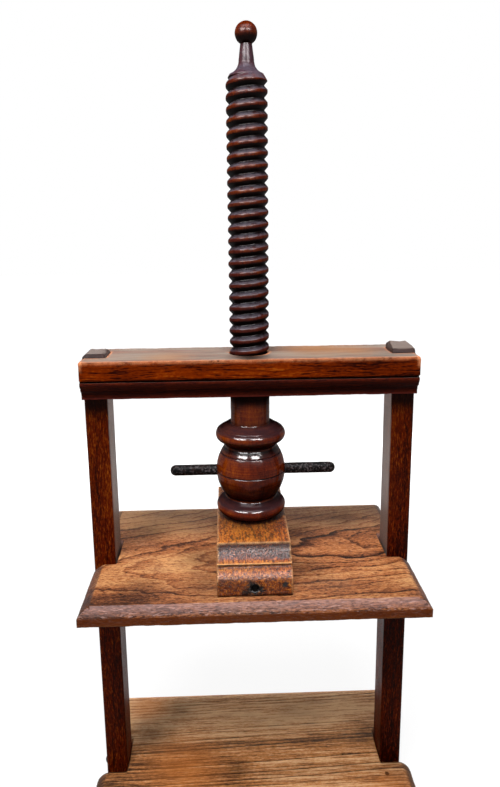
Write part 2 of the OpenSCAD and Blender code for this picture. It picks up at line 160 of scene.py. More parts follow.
# Length of the mean of the unit normals round a point, from which on the place counts as flat
FLAT_PLACE = 0.97

# Grime and painted shade in the thread: its strength, and the share of the depth where it is full
GROOVE_DIRT_AND_SHADE = 0.85
GROOVE_FULL = 0.55

# Light: the world's strength on the object, the powers of the lamps in watts, and the radiances
# of the lamps that only show as gloss
AMBIENT = 0.15
KEY_POWER = 160
FILL_POWER = 24
SHEEN_RADIANCE = 30
SOFTBOX_RADIANCE = 180
GLOSS_AIM = Vector((0, 0, 0.4))
WHITE = (1, 1, 1)
COOL_WHITE = (0.86, 0.93, 1.0)

# Floor: half its side, its own tone and mottling, its glow, and how far out that turns white
FLOOR_HALF = 8.0
FLOOR_ALBEDO = 0.14
FLOOR_MOTTLE = 0.03
FLOOR_GLOW = 0.88
FLOOR_FADE = (0.35, 1.3)

# Where the four tones of a wood lie between its deepest and its lightest place
TONE_STOPS = (0.0, 0.3, 0.62, 1.0)

# Colour of grime and of painted shade, and the number of rays that look for arrises and corners
GRIME_AND_SHADE = "080302"
OCCLUSION_SAMPLES = 6


def make_camera():
    data = bpy.data.cameras.new("camera")
    camera = bpy.data.objects.new("camera", data)
    bpy.context.scene.collection.objects.link(camera)
    level = Vector((math.cos(CAMERA_YAW), -math.sin(CAMERA_YAW), 0))
    ahead = Vector((
        math.sin(CAMERA_YAW) * math.cos(CAMERA_DOWN),
        math.cos(CAMERA_YAW) * math.cos(CAMERA_DOWN),
        -math.sin(CAMERA_DOWN),
    ))
    upright = level.cross(ahead)
    right = math.cos(CAMERA_ROLL) * level + math.sin(CAMERA_ROLL) * upright
    up = math.cos(CAMERA_ROLL) * upright - math.sin(CAMERA_ROLL) * level
    turn = Matrix((right, up, -ahead)).transposed()
    camera.matrix_world = Matrix.Translation(CAMERA_PLACE) @ turn.to_4x4()
    long_side = max(IMAGE_W, IMAGE_H)
    data.sensor_fit = "AUTO"
    data.sensor_width = SENSOR_MM
    data.lens = FOCAL_PX / long_side * SENSOR_MM
    data.shift_y = (AXIS_Y_PX - IMAGE_H / 2) / long_side
    data.clip_start = CLIP_NEAR
    data.clip_end = CLIP_FAR
    bpy.context.scene.camera = camera


def linear(part):
    """Linear light of one sRGB channel, both from 0 to 1."""
    return part / 12.92 if part <= 0.04045 else ((part + 0.055) / 1.055) ** 2.4


def shade(text):
    """Linear RGBA of an sRGB colour written as six hex digits."""
    parts = [int(text[i:i + 2], 16) / 255 for i in (0, 2, 4)]
    return tuple(linear(part) for part in parts) + (1.0,)


class Graph:
    """One node tree. Inputs take a plain value or another node's output socket."""

    def __init__(self, tree):
        self.tree = tree
        self.tree.nodes.clear()

    def add(self, kind, inputs=None, **settings):
        node = self.tree.nodes.new(kind)
        for key, value in settings.items():
            setattr(node, key, value)
        for key, value in (inputs or {}).items():
            self.feed(node.inputs[key], value)
        return node

    def feed(self, socket, value):
        if isinstance(value, bpy.types.NodeSocket):
            self.tree.links.new(value, socket)
        else:
            socket.default_value = value

    def math(self, operation, a, b=0.0, c=0.0):
        return self.add("ShaderNodeMath", {0: a, 1: b, 2: c}, operation=operation).outputs[0]

    def both(self, a, b):
        """Where two masks overlap, or one mask weakened to a share."""
        return self.math("MULTIPLY", a, b)

    def total(self, start, *layers):
        """A start value plus each layer's value times its weight."""
        for value, weight in layers:
            start = self.math("MULTIPLY_ADD", value, weight, start)
        return start

    def mix(self, factor, a, b):
        return self.add("ShaderNodeMix", {0: factor, 6: a, 7: b}, data_type="RGBA").outputs[2]

    def step(self, value, low, high):
        """A soft step from 0 at low to 1 at high, which may be the smaller of the two."""
        inputs = {"Value": value, "From Min": low, "From Max": high}
        return self.add("ShaderNodeMapRange", inputs, interpolation_type="SMOOTHSTEP").outputs[0]

    def noise(self, vector, scale, detail=3.0, roughness=0.5):
        """Noise from about -0.5 to 0.5."""
        inputs = {"Vector": vector, "Scale": scale, "Detail": detail, "Roughness": roughness}
        return self.math("SUBTRACT", self.add("ShaderNodeTexNoise", inputs).outputs[0], 0.5)

    def ramp(self, value, stops):
        node = self.add("ShaderNodeValToRGB", {0: value})
        points = node.color_ramp.elements
        while len(points) < len(stops):
            points.new(0.5)
        for point, (at, colour) in zip(points, stops):
            point.position = at
            point.color = colour
        return node.outputs[0]

    def hemmed(self, reach, inside):
        """How much of the piece lies near: at its arrises from inside, in its corners from outside."""
        settings = {"inside": inside, "only_local": True, "samples": OCCLUSION_SAMPLES}
        node = self.add("ShaderNodeAmbientOcclusion", {"Distance": reach}, **settings)
        return self.math("SUBTRACT", 1.0, node.outputs["AO"])

    def shown_rays(self):
        """1 for rays that show a thing to the camera, directly, as gloss or through glass."""
        path = self.add("ShaderNodeLightPath").outputs
        shown = self.math("MAXIMUM", path["Is Glossy Ray"], path["Is Transmission Ray"])
        return self.math("MAXIMUM", shown, path["Is Camera Ray"])


def new_tree(name):
    """A new material and its node tree."""
    material = bpy.data.materials.new(name)
    material.use_nodes = True
    return material, material.node_tree


class Wood(Graph):
    """The node tree of an old oiled wood with its grain along one axis."""

    def __init__(self, name, axis):
        self.material, tree = new_tree(name)
        super().__init__(tree)
        self.axis = "XYZ".index(axis)
        coords = self.add("ShaderNodeTexCoord").outputs
        self.place = coords["Object"]
        self.at = self.add("ShaderNodeSeparateXYZ", {0: self.place}).outputs
        self.faces = self.add("ShaderNodeSeparateXYZ", {0: coords["Normal"]}).outputs
        self.upward = self.step(self.faces[2], 0.8, 0.97)
        self.ragged = self.noise(self.place, 110.0, detail=4.0, roughness=0.65)
        self.height = 0.0

    def grain(self, length, width, detail=3.0, roughness=0.5, turn=0.0):
        """Noise with so many waves in a metre along and across the grain."""
        scale = [width] * 3
        scale[self.axis] = length
        vector = self.place
        if turn:
            inputs = {"Vector": vector, "Rotation": (0, 0, turn)}
            vector = self.add("ShaderNodeMapping", inputs).outputs[0]
        stretched = self.add("ShaderNodeMapping", {"Vector": vector, "Scale": scale}).outputs[0]
        return self.noise(stretched, 1.0, detail, roughness)

    def rings(self, pith, slope, ring, wave=1.0, thin=0.6, jagged=0.6):
        """Late wood of the growth rings, darkest just before each ring ends.

        pith is where the middle of the tree lies across the grain, slope how it runs along it."""
        along = self.at[self.axis]
        across = [self.at[i] for i in range(3) if i != self.axis]
        sway = (self.grain(5, 13), 0.03 * wave)
        swell = (self.grain(10, 24), 0.02 * wave)
        u = self.total(across[0], (along, -slope[0]), sway, (pith[0], -1.0))
        v = self.total(across[1], (along, -slope[1]), swell, (pith[1], -1.0))
        radius = self.math("SQRT", self.math("MULTIPLY_ADD", u, u, self.math("MULTIPLY", v, v)))
        edge = self.grain(45, 80, detail=3.0, roughness=0.6)
        count = self.total(self.math("DIVIDE", radius, ring), (edge, jagged))
        phase = self.math("FRACT", count)
        number = self.math("FLOOR", count)
        lot = self.add("ShaderNodeTexWhiteNoise", {"W": number}, noise_dimensions="1D")
        chance = self.math("POWER", lot.outputs["Value"], 2.0)
        peak = self.math("POWER", self.step(phase, thin, 0.95), 2.0)
        rise = self.total(0.0, (phase, 0.4), (peak, 0.6))
        rise = self.both(rise, self.step(phase, 1.0, 0.95))
        return self.both(rise, self.total(0.2, (chance, 0.9)))

    def figure(self, line, pore_waves, level, lines, patches, fibres, pores, grit, line_depth=0.4):
        """Lightness of the bare wood; its fibres, pores and growth lines also make the relief.

        The weights of lines and pores lower the level, or raise it if negative; the others vary it."""
        fibre = self.grain(20, 420, detail=5.0, roughness=0.75)
        pore = self.step(self.grain(*pore_waves, detail=2.0, roughness=0.6), 0.02, 0.18)
        self.height = self.total(0.0, (fibre, 0.8), (pore, -0.6), (line, -line_depth))
        return self.total(
            level, (line, -lines), (self.grain(5, 14), 1.6 * patches),
            (self.grain(9, 60, detail=4.0, roughness=0.6), 0.9 * patches), (fibre, fibres), (pore, -pores),
            (self.grain(220, 520, detail=3.0, roughness=0.7), grit),
        )

    def tint(self, tone, tones):
        """Colour of a place by its lightness, from the four tones of a wood."""
        return self.ramp(tone, [(at, shade(c)) for at, c in zip(TONE_STOPS, tones)])

    def stain(self, colour, mask, share, tint):
        """Covers a share of the colour with a tint, as far as the mask goes."""
        return self.mix(self.both(mask, share), colour, shade(tint))

    def smudges(self):
        """Mask of broad patches along the grain."""
        return self.step(self.grain(7, 15, detail=4.0, roughness=0.6), 0.0, 0.25)

    def end_grain(self, low, high):
        """Faces that look along the grain, from none at low to all at high."""
        return self.step(self.math("ABSOLUTE", self.faces[self.axis]), low, high)

    def worn(self, colour, share, tint, reach=3 * MM):
        """Lighter wood where the arrises are rubbed; on the beam it also stands in for a painted highlight.
        """
        rim = self.step(self.hemmed(reach, True), 0.08, 0.35)
        rim = self.both(rim, self.step(self.ragged, -0.25, 0.05))
        return self.stain(colour, rim, share, tint)

    def shaded_undersides_and_corners(self, colour, under=0.5, reach=7 * MM, low=0.1, high=0.5):
        """Painted shade on undersides, and painted shade with grime in corners."""
        colour = self.stain(colour, self.step(self.faces[2], 0.0, -0.45), under, GRIME_AND_SHADE)
        return self.stain(colour, self.step(self.hemmed(reach, False), low, high), 0.9, GRIME_AND_SHADE)

    def spot(self, place, outer, inner, rag):
        """A round spot that fades out from its inner to its outer radius, with a ragged outline."""
        far = self.add("ShaderNodeVectorMath", {0: self.place, 1: place}, operation="DISTANCE")
        return self.step(self.total(far.outputs["Value"], (self.ragged, rag)), outer, inner)

    def blots(self, colour, *spots):
        """Sharp ragged spots of grime, each with its place, radius and strength."""
        for place, radius, strength in spots:
            mask = self.spot(place, radius, 0.4 * radius, 2.4 * radius)
            colour = self.stain(colour, mask, strength, GRIME_AND_SHADE)
        return colour

    def shades(self, colour, top, *spots, tint=GRIME_AND_SHADE):
        """Soft spots of a tint, dark unless given, on the top face, each with x, y and radius in
        millimetres, and strength.
        """
        for x, y, radius, strength in spots:
            mask = self.spot((x * MM, y * MM, top), 1.4 * radius * MM, 0.0, 0.7 * radius * MM)
            colour = self.stain(colour, self.both(mask, self.upward), strength, tint)
        return colour

    def finish(self, colour, relief, rough, specular, coat=None, coat_rough=0.1, dusty=(0.6, 0.8)):
        """Oiled surface over the wood's relief; rough is the range of its roughness.

        Dust dulls it where it faces upward, from none to all between the two dusty values."""
        height = self.total(self.height, (self.ragged, 0.7))
        bump = self.add("ShaderNodeBump", {"Strength": relief, "Distance": 0.6 * MM, "Height": height})
        dust = self.step(self.faces[2], *dusty)
        middle = (rough[0] + rough[1]) / 2
        patchy = self.noise(self.place, 34.0, detail=4.0, roughness=0.6)
        gloss = self.total(middle, (patchy, rough[1] - rough[0]), (dust, 0.08))
        inputs = {
            "Base Color": colour, "Roughness": gloss, "Normal": bump.outputs[0],
            "Specular IOR Level": specular,
        }
        if coat is not None:
            inputs["Coat Weight"] = self.both(coat, self.math("SUBTRACT", 1.0, dust))
            inputs["Coat Roughness"] = coat_rough
        surface = self.add("ShaderNodeBsdfPrincipled", inputs)
        self.add("ShaderNodeOutputMaterial", {"Surface": surface.outputs[0]})
        return self.material


def platen_oak():
    """Oak with a broad figure: tops painted lighter than other faces as light from above, a painted grey
    reflection on the back half, darker along the front of the top, and a painted sheen with glints on its
    front round.
    """
    w = Wood("oak_platen", "X")
    pith = (-20 * MM, PLATEN_HIGH.z - 70 * MM)
    line = w.rings(pith, slope=(0.25, 0.14), ring=9 * MM, wave=1.5, thin=0.5)
    line = w.both(line, w.total(0.25, (w.upward, 0.75)))
    tone = w.figure(
        line, (200, 900), level=0.46, lines=0.75, patches=0.9, fibres=0.7, pores=0.35, grit=1.1,
    )
    front_strip = w.step(w.at[1], PLATEN_LOW.y + 62 * MM, PLATEN_LOW.y + 30 * MM)
    front_strip = w.both(front_strip, w.upward)
    # Tops are painted lighter than the other faces, as the light from above.
    tone = w.total(tone, (w.upward, 0.38), (front_strip, -0.16))
    colour = w.tint(tone, ("160a05", "5a2e18", "ae683c", "dca26a"))
    colour = w.stain(colour, w.smudges(), 0.45, "685c50")
    # Painted reflection: the back half of the platen is tinted grey.
    colour = w.stain(colour, w.step(w.at[1], 0.0, PLATEN_HIGH.y), 0.45, "7c6858")
    colour = w.stain(colour, front_strip, 0.15, "543a2a")
    colour = w.stain(colour, w.end_grain(0.15, 0.5), 0.6, "3a2826")
    front = w.step(w.faces[1], -0.15, -0.5)
    upright = w.step(w.faces[1], -0.9, -0.98)
    # Painted sheen and painted glints on the front round, pale pink where it faces up and forward.
    band = w.both(front, w.step(w.faces[1], -0.75, -0.45))
    speck = w.both(front, w.step(w.grain(130, 650, detail=3.0, roughness=0.6), 0.04, 0.16))
    colour = w.stain(colour, front, 0.35, "4c2c22")
    colour = w.stain(colour, band, 0.42, "b8948e")
    colour = w.stain(colour, speck, 0.5, "c89c90")
    colour = w.stain(colour, upright, 0.85, "662e10")
    colour = w.worn(colour, 0.15, "b4763c")
    colour = w.shaded_undersides_and_corners(colour)
    colour = w.shades(
        colour, PLATEN_HIGH.z, (-54, -20, 35, 0.55), (-50, -75, 30, 0.45), (54, -50, 32, 0.5),
        (52, 30, 30, 0.5), (-125, 45, 28, 0.5), (120, 70, 30, 0.4), (-120, -85, 30, 0.4),
    )
    sheen = w.total(0.0, (front, 0.08), (upright, -0.08))
    return w.finish(colour, relief=1.3, rough=(0.3, 0.5), specular=0.04, coat=sheen, coat_rough=0.2)


def base_oak():
    """Straight-grained oak: tops painted lighter than other faces as light from above, the rear painted
    lighter and greyer against the platen's shadow, and darker along the front.
    """
    w = Wood("oak_base", "X")
    pith = (350 * MM, -250 * MM)
    line = w.rings(pith, slope=(0.05, 0.0), ring=4 * MM, wave=0.5, thin=0.55, jagged=0.15)
    tone = w.figure(
        line, (30, 700), level=0.5, lines=1.0, patches=0.9, fibres=0.9, pores=0.4, grit=0.9,
    )
    # Painted light: the rear is lifted and tinted greyer against the platen's shadow.
    rear = w.step(w.at[1], -30 * MM, 60 * MM)
    front_strip = w.step(w.at[1], -6 * MM, -36 * MM)
    streak = w.grain(5, 170, detail=3.0, roughness=0.6)
    # Tops are painted lighter than the other faces, as the light from above.
    tone = w.total(tone, (w.upward, 0.25), (streak, 1.0), (rear, 0.15), (front_strip, -0.14))
    colour = w.tint(tone, ("1c0f06", "643e24", "b07240", "dcae80"))
    colour = w.stain(colour, rear, 0.2, "a8927a")
    colour = w.stain(colour, front_strip, 0.15, "583c28")
    colour = w.stain(colour, w.smudges(), 0.35, "5c4634")
    colour = w.stain(colour, w.end_grain(0.15, 0.5), 0.65, "4a3020")
    colour = w.worn(colour, 0.15, "b88a50")
    colour = w.shaded_undersides_and_corners(colour)
    top = BASE_HIGH.z
    knot = (158.5 * MM, -43 * MM, top)
    nick = (110 * MM, -12 * MM, top)
    colour = w.blots(colour, (knot, 3.2 * MM, 1.0), (nick, 1.6 * MM, 0.8))
    colour = w.shades(
        colour, top, (-130, 30, 35, 0.6), (-100, 70, 30, 0.45), (-20, -30, 18, 0.5), (150, 20, 20, 0.4),
    )
    warm = ((-85, -20, 50, 0.5), (-140, 85, 30, 0.5), (160, -80, 40, 0.5))
    colour = w.shades(colour, top, *warm, tint="b86a2c")
    return w.finish(colour, relief=0.5, rough=(0.3, 0.5), specular=0.05)


def beam_oak():
    """Reddish oak with a top painted grey, partly weathering and partly a painted sheen; upper arrises
    paler from wear and a painted highlight; and a moulding painted dark as shade.
    """
    w = Wood("oak_beam", "X")
    line = w.rings(pith=(0.0, BEAM_LOW.z - 80 * MM), slope=(0.02, 0.03), ring=6 * MM)
    tone = w.figure(
        line, (60, 700), level=0.6, lines=0.25, patches=0.5, fibres=0.7, pores=0.3, grit=0.5,
    )
    # Painted shade: the moulding faces down and is painted darker.
    moulding = w.step(w.at[2], BEAM_GROOVE_Z, BEAM_GROOVE_Z - 1 * MM)
    tone = w.total(tone, (moulding, -0.06))
    colour = w.tint(tone, ("0a0200", "340a02", "842c00", "c86c1c"))
    colour = w.stain(colour, moulding, 0.5, "542420")
    # The top is painted grey: partly weathering, partly a painted sheen of the bright room.
    grey_and_sheen = w.total(0.65, (w.grain(9, 60, detail=4.0, roughness=0.6), 1.8))
    colour = w.stain(colour, w.both(w.upward, grey_and_sheen), 0.9, "9a9286")
    top = BEAM_HIGH.z
    warm = ((75, 20, 50, 0.6), (120, 0, 30, 0.4), (-90, -20, 30, 0.4))
    colour = w.shades(colour, top, *warm, tint="b47840")
    # Rubbed upper arrises, painted bright also as the highlight along the front edge.
    upper = w.step(w.at[2], top - 14 * MM, top - 8 * MM)
    colour = w.worn(colour, w.both(upper, 0.95), "f49c68", reach=5 * MM)
    colour = w.shaded_undersides_and_corners(colour, under=0.6)
    # Painted highlight: a lighter red line along the bottom edge.
    foot = w.step(w.at[2], BEAM_LOW.z + 3 * MM, BEAM_LOW.z + 1 * MM)
    colour = w.stain(colour, foot, 0.49, "7c342c")
    nick = (-34 * MM, BEAM_LOW.y, top - 1 * MM)
    colour = w.blots(colour, (nick, 2.4 * MM, 1.0))
    # Painted reflection: the dark screw mirrored in the top just in front of it.
    colour = w.shades(colour, top, (0, -26, 22, 0.9))
    return w.finish(colour, relief=0.5, rough=(0.3, 0.5), specular=0.02)


def post_oak():
    """Dark oak with pale pores, painted pale as reflection on its inner faces and painted darker as shade
    below the platen and the beam.
    """
    w = Wood("oak_post", "Z")
    line = w.rings(pith=(0.0, 120 * MM), slope=(0.01, 0.0), ring=5 * MM)
    tone = w.figure(
        line, (120, 1300), level=0.52, lines=0.2, patches=0.6, fibres=0.35, pores=-0.35, grit=1.0,
    )
    # Painted shade: darker below the platen.
    tone = w.total(tone, (w.step(w.at[2], PLATEN_LOW.z, PLATEN_LOW.z - 50 * MM), -0.16))
    colour = w.tint(tone, ("0a0100", "280600", "5c1800", "94480e"))
    colour = w.stain(colour, w.smudges(), 0.4, "240c06")
    # Painted reflection: the inner faces are painted pale grey, as the bright room mirrored in them.
    inner = w.step(w.math("MULTIPLY", w.at[0], w.faces[0]), -80 * MM, -140 * MM)
    raised = w.step(w.at[2], PLATEN_LOW.z - 120 * MM, PLATEN_HIGH.z + 80 * MM)
    colour = w.stain(colour, w.both(inner, raised), 0.45, "a89c92")
    colour = w.worn(colour, 0.25, "6c2c10")
    colour = w.shaded_undersides_and_corners(colour)
    # Painted shadow below the beam.
    shaded = w.step(w.at[2], BEAM_LOW.z - 30 * MM, BEAM_LOW.z - 8 * MM)
    colour = w.stain(colour, w.both(shaded, w.math("ABSOLUTE", w.faces[1])), 0.85, GRIME_AND_SHADE)
    tenon = w.step(w.at[2], BEAM_HIGH.z - 1 * MM, BEAM_HIGH.z)
    colour = w.stain(colour, tenon, 0.8, "2a1c18")
    # Painted sheen: the tops of the tenons are painted pale grey.
    colour = w.stain(colour, w.both(tenon, w.upward), 0.8, "8c7c74")
    return w.finish(colour, relief=0.5, rough=(0.3, 0.5), specular=0.035)


def block_oak():
    """Orange oak with flecks and scratches, painted dark as shade in its cove, along its foot and round the
    screw, and black round the peg hole.
    """
    w = Wood("oak_block", "Y")
    line = w.rings(pith=(50 * MM, BLOCK_LOW.z - 60 * MM), slope=(0.0, 0.0), ring=3 * MM)
    tone = w.figure(
        line, (300, 900), level=0.72, lines=0.25, patches=0.7, fibres=0.9, pores=0.5, grit=1.7,
    )
    sawn = w.end_grain(0.15, 0.7)
    # Painted shade: the cove is painted much darker; sawn adds the darker end grain.
    cove = w.both(sawn, w.step(w.at[2], BLOCK_LIP_Z - 1 * MM, BLOCK_LIP_Z + 3 * MM))
    scratch = w.step(w.grain(30, 700, detail=2.0, roughness=0.5, turn=0.8), 0.16, 0.22)
    tone = w.total(tone, (sawn, -0.08), (cove, -0.5), (scratch, 0.45))
    colour = w.tint(tone, ("120502", "46190a", "a04a08", "dc8a30"))
    fleck = w.step(w.grain(70, 330, detail=3.0, roughness=0.7), 0.0, 0.1)
    colour = w.stain(colour, fleck, 0.85, "441804")
    colour = w.stain(colour, w.smudges(), 0.35, "402010")
    colour = w.worn(colour, 0.9, "f0b070")
    colour = w.shaded_undersides_and_corners(colour)
    # Painted contact shadow along the bottom of the foot.
    colour = w.stain(colour, w.step(w.at[2], BLOCK_LOW.z + 2.5 * MM, BLOCK_LOW.z), 0.9, GRIME_AND_SHADE)
    aside = w.math("POWER", w.at[0], 2.0)
    above = w.math("POWER", w.math("SUBTRACT", w.at[2], PEG_Z), 2.0)
    from_hole = w.math("SQRT", w.math("ADD", aside, above))
    in_front = w.step(w.at[1], 0.0, -5 * MM)
    hole = w.both(w.step(from_hole, 6 * MM, 4.5 * MM), in_front)
    colour = w.stain(colour, hole, 1.0, GRIME_AND_SHADE)
    face = BLOCK_LOW.y
    colour = w.blots(
        colour,
        ((-1.5 * MM, face, PEG_Z), 12 * MM, 1.0),
        ((-11 * MM, face, PEG_Z - 4 * MM), 4 * MM, 0.9),
        ((6 * MM, face, PEG_Z + 1 * MM), 5 * MM, 0.9),
        ((31 * MM, face, PEG_Z + 3.6 * MM), 5 * MM, 1.0),
    )
    # Painted shadow round the foot of the screw's head.
    colour = w.shades(colour, BLOCK_HIGH.z, (0, 0, 64, 1.0), tint="1c0a06")
    return w.finish(colour, relief=1.0, rough=(0.26, 0.4), specular=0.1)


def turned_colour(w):
    """Colour of the turned wood before wear and dirt, with faint marks of the lathe."""
    line = w.rings(pith=(60 * MM, 50 * MM), slope=(0.02, 0.03), ring=7 * MM)
    tone = w.figure(
        line, (250, 1200), level=0.6, lines=0.08, patches=0.7, fibres=0.35, pores=0.15, grit=0.3,
        line_depth=0.0,
    )
    marks = w.add("ShaderNodeMapping", {"Vector": w.place, "Scale": (25, 25, 800)}).outputs[0]
    tone = w.total(tone, (w.noise(marks, 1.0, detail=3.0, roughness=0.6), 0.5))
    return w.tint(tone, ("0a0202", "2e0904", "621e05", "a04a0a"))


def head_wood():
    """Polished wood of the bulb, collars and shank, blackened by grime and painted shadow where the shank
    enters the beam.
    """
    w = Wood("head_wood", "Z")
    colour = turned_colour(w)
    # Up-facing faces darkened and tinted blue-grey: dust, and a painted sheen.
    colour = w.stain(colour, w.step(w.faces[2], 0.2, 0.7), 0.75, "252127")
    colour = w.worn(colour, 0.2, "742a0c")
    colour = w.shaded_undersides_and_corners(colour, under=0.7, reach=12 * MM, low=0.05, high=0.45)
    # Grime and painted shadow where the shank enters the beam.
    entering = w.step(w.at[2], THREAD_LOW - 18 * MM, THREAD_LOW - 6 * MM)
    colour = w.stain(colour, entering, 0.9, GRIME_AND_SHADE)
    polish = w.total(0.17, (entering, -0.15))
    return w.finish(colour, relief=0.15, rough=(0.14, 0.24), specular=0.0, coat=polish, coat_rough=0.15)


def thread_wood():
    """Waxed wood of the thread, black in its grooves from grime and painted shade, grey on its upper flanks
    from dust and a painted sheen, and of the neck and the ball.
    """
    w = Wood("thread_wood", "Z")
    colour = turned_colour(w)
    below_ball = w.step(w.at[2], BALL_SEAT, BALL_SEAT - 1 * MM)
    lower = w.step(w.at[2], THREAD_TOP - 60 * MM, THREAD_TOP - 160 * MM)
    colour = w.stain(colour, lower, 0.35, "2c1016")
    colour = w.stain(colour, w.smudges(), 0.4, "241418")
    groove = w.add("ShaderNodeAttribute", attribute_name="groove").outputs["Fac"]
    # Grime and painted shade in the grooves.
    colour = w.stain(colour, groove, 1.0, "080406")
    # Up-facing flanks tinted grey: dust, and a painted sheen.
    grey_and_sheen = w.both(w.step(w.faces[2], 0.2, 0.6), w.step(w.ragged, -0.25, 0.1))
    colour = w.stain(colour, w.both(grey_and_sheen, below_ball), 0.8, "645e68")
    neck = w.both(w.step(w.at[2], THREAD_TOP, THREAD_TOP + 6 * MM), below_ball)
    colour = w.stain(colour, neck, 0.6, "4a3e4c")
    colour = w.worn(colour, 0.2, "742a0c")
    colour = w.shaded_undersides_and_corners(colour, under=0.9, reach=14 * MM, low=0.05, high=0.4)
    return w.finish(
        colour, relief=0.25, rough=(0.32, 0.46), specular=0.0, coat=0.09, coat_rough=0.3, dusty=(0.35, 0.6),
    )


def iron(name, base, light, rust, rust_share):
    """Black forged iron with pits and specks of rust."""
    material, tree = new_tree(name)
    g = Graph(tree)
    place = g.add("ShaderNodeTexCoord").outputs["Object"]
    pits = g.noise(place, 420.0, detail=5.0, roughness=0.7)
    rusty = g.both(g.step(g.noise(place, 150.0, detail=4.0, roughness=0.6), 0.0, 0.2), rust_share)
    colour = g.mix(g.step(pits, 0.0, 0.14), shade(base), shade(light))
    colour = g.mix(rusty, colour, shade(rust))
    bump = g.add("ShaderNodeBump", {"Strength": 0.7, "Distance": 0.5 * MM, "Height": pits})
    surface = g.add("ShaderNodeBsdfPrincipled", {
        "Base Color": colour, "Roughness": g.total(0.42, (pits, 0.35)), "Normal": bump.outputs[0],
        "Specular IOR Level": 0.05,
    })
    g.add("ShaderNodeOutputMaterial", {"Surface": surface.outputs[0]})
    return material


def take(obj, body, slot_name, replaced, *materials):
    """Gives a new piece its body, the node that it stands for and its finish; its slot name is not used."""
    obj.data.materials.clear()
    for material in materials:
        obj.data.materials.append(material)
    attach(obj, body)
    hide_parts(replaced)


def mesh_object(name, points, faces):
    mesh = bpy.data.meshes.new(name)
    mesh.from_pydata(np.asarray(points).tolist(), [], faces)
    mesh.polygons.foreach_set("use_smooth", np.ones(len(mesh.polygons), bool))
    mesh.update()
    obj = bpy.data.objects.new(name, mesh)
    bpy.context.scene.collection.objects.link(obj)
    return obj


def skin(name, rings, tips):
    """A closed mesh over a stack of point rings, with a tip point at each end."""
    rows, cols = rings.shape[:2]
    i, j = np.meshgrid(np.arange(rows - 1), np.arange(cols), indexing="ij")
    k = (j + 1) % cols
    sides = np.stack([i * cols + j, i * cols + k, (i + 1) * cols + k, (i + 1) * cols + j], 2)
    this = np.arange(cols)
    after = (this + 1) % cols
    last = (rows - 1) * cols
    low = np.stack([after, this, np.full(cols, rows * cols)], 1)
    high = np.stack([last + this, last + after, np.full(cols, rows * cols + 1)], 1)
    points = np.vstack([rings.reshape(-1, 3), tips])
    return mesh_object(name, points, sides.reshape(-1, 4).tolist() + low.tolist() + high.tolist())


def noise_at(points, scale, seed):
    """Smooth noise from about -1 to 1 at each point."""
    offset = Vector([seed * step for step in SEED_STEPS])
    return np.array([noise.noise(Vector(p) * scale + offset) for p in points])


def uneven(points, waves, seed, weights, most):
    """Wear at each point, from 0 to the most, in broad and fine waves a metre."""
    level, broad, fine = weights
    broad_noise = noise_at(points, waves[0], seed)
    fine_noise = noise_at(points, waves[1], seed + 1)
    return np.clip(level + broad * broad_noise + fine * fine_noise, 0, most)


def read_array(items, key, width, kind):
    flat = np.zeros(len(items) * width, kind)
    items.foreach_get(key, flat)
    return flat.reshape(-1, width) if width > 1 else flat


def corner_normals(mesh):
    """At each vertex the sum of its faces' normals by area, and their plain mean."""
    facing = read_array(mesh.polygons, "normal", 3, np.float32)
    area = read_array(mesh.polygons, "area", 1, np.float32)
    sides = read_array(mesh.polygons, "loop_total", 1, np.int32)
    corner = read_array(mesh.loops, "vertex_index", 1, np.int32)
    face = np.repeat(np.arange(len(sides)), sides)
    count = len(mesh.vertices)
    broad = [np.bincount(corner, facing[face, k] * area[face], count) for k in range(3)]
    plain = [np.bincount(corner, facing[face, k], count) for k in range(3)]
    return np.stack(broad, 1), np.stack(plain, 1) / np.bincount(corner, minlength=count)[:, None]


def worn_copy(node, name, cell, seed):
    """A copy of a node with its arrises rounded and rubbed unevenly by use."""
    obj = bpy.data.objects.new(name, NODES[node].data.copy())
    bpy.context.scene.collection.objects.link(obj)
    cells = obj.modifiers.new("cells", "REMESH")
    cells.mode = "VOXEL"
    cells.voxel_size = cell
    cells.adaptivity = CELL_THINNING
    mesh = bpy.data.meshes.new_from_object(obj.evaluated_get(bpy.context.evaluated_depsgraph_get()))
    obj.modifiers.clear()
    obj.data = mesh
    mesh.polygons.foreach_set("use_smooth", np.ones(len(mesh.polygons), bool))
    points = read_array(mesh.vertices, "co", 3, np.float32).astype(float)
    broad, plain = corner_normals(mesh)
    length = np.linalg.norm(plain, axis=1)
    arris = length < FLAT_PLACE
    outward = plain[arris] / length[arris][:, None]
    rub = uneven(points[arris], ARRIS_WAVES, seed, RUB_WEIGHTS, RUB_MOST)
    points[arris] -= outward * rub[:, None] * ARRIS_WEAR
    mesh.vertices.foreach_set("co", points.astype(np.float32).ravel())
    mesh.update()
    mesh.normals_split_custom_set_from_vertices((broad / np.linalg.norm(broad, axis=1)[:, None]).tolist())
    return obj


def dress(node, name, body, slot_name, material, cell, seed):
    """Puts a worn copy in the place of a node."""
    piece = worn_copy(node, name, cell, seed)
    take(piece, body, slot_name, node, material)
    return piece


def round_at(z, middle, radius):
    """How far a circle reaches out at each height, or a long way in where it does not reach."""
    inside = radius ** 2 - (z - middle) ** 2
    return np.where(inside >= 0, np.sqrt(np.maximum(inside, 0)), -1.0)


def collar_at(z, middle, height, roll, low_r, high_r):
    """Outline of a collar: a roll with a sloping shoulder below and above it."""
    side_r = COLLAR_R - roll + roll * SHOULDER_OUT
    rise = roll * SHOULDER_UP
    up = np.round(z - middle, 9)
    shoulders = np.interp(up, [-height / 2, -rise, rise, height / 2], [low_r, side_r, side_r, high_r])
    shoulders = np.where(np.abs(up) <= np.round(height / 2, 9), shoulders, 0)
    return np.maximum(shoulders, COLLAR_R - roll + round_at(z, middle, roll))


